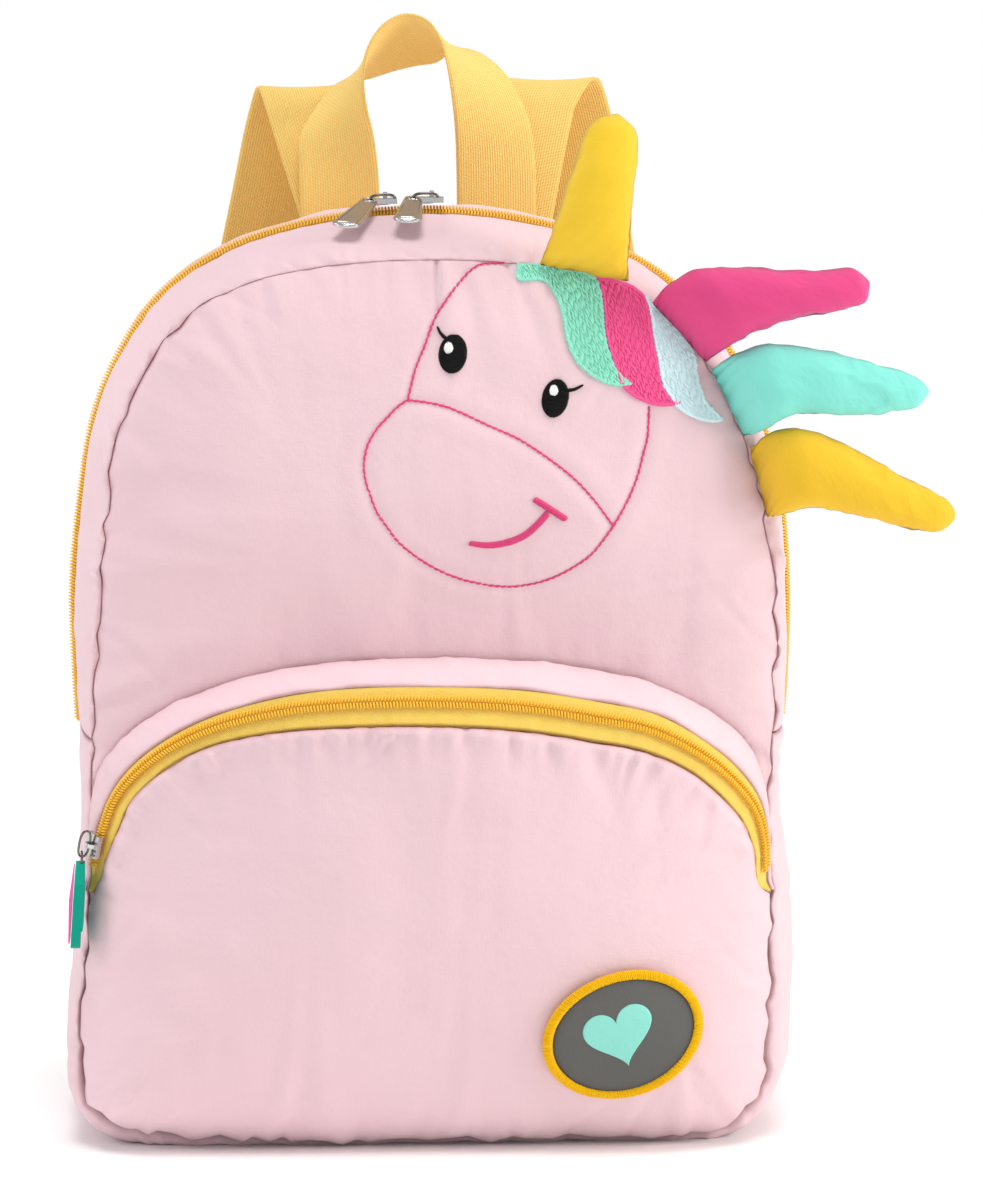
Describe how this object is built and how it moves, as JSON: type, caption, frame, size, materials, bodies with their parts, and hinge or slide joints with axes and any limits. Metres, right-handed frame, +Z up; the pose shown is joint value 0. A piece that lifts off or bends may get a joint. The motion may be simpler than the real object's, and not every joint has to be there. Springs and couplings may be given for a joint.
{
  "type": "kids animal backpack",
  "caption": "Child's padded backpack with a unicorn's stuffed horn and mane in its seam, an arched zipped front pocket, a webbing carrying handle and webbing shoulder straps.",
  "frame": {"origin": "middle of the flat bottom, on the surface the backpack stands on", "axes": "+X to the right seen from the front, +Y from the front to the back, +Z up"},
  "size_m": [0.3218, 0.1719, 0.4072],
  "materials": {
    "pink_canvas": "matte woven",
    "yellow_webbing": "ribbed webbing",
    "zip_tape": "fine twill",
    "zip_coil": "satin",
    "horn_felt": "matte",
    "mane_magenta": "matte",
    "mane_mint": "matte",
    "mane_yellow": "matte",
    "patch_field": "matte woven",
    "patch_border": "satin thread",
    "bright_metal": "polished",
    "dark_wire": "polished",
    "teal_rubber": "matte",
    "pink_rubber": "matte"
  },
  "bodies": {
    "root": {"front_panel": "pink_canvas", "back_panel": "pink_canvas", "gusset_front": "pink_canvas", "gusset_rear": "pink_canvas", "gusset_lower": "pink_canvas", "pocket_panel": "pink_canvas", "pocket_band": "pink_canvas", "main_zip_tape": "zip_tape", "main_zip_coil": "zip_coil", "pocket_zip_tape": "zip_tape", "pocket_zip_coil": "zip_coil", "main_slider_a": "bright_metal", "main_slider_b": "bright_metal", "main_ring_a": "dark_wire", "main_ring_b": "dark_wire", "main_tab_a": "bright_metal", "main_tab_b": "bright_metal", "pocket_slider": "bright_metal", "pocket_ring": "dark_wire", "pocket_eye": "dark_wire", "pocket_puller": "teal_rubber", "pocket_puller_layer": "pink_rubber", "handle": "yellow_webbing", "strap_left": "yellow_webbing", "strap_right": "yellow_webbing", "horn": "horn_felt", "mane_magenta": "mane_magenta", "mane_mint": "mane_mint", "mane_yellow": "mane_yellow", "patch": "patch_field", "patch_border": "patch_border"}
  },
  "joints": []
}
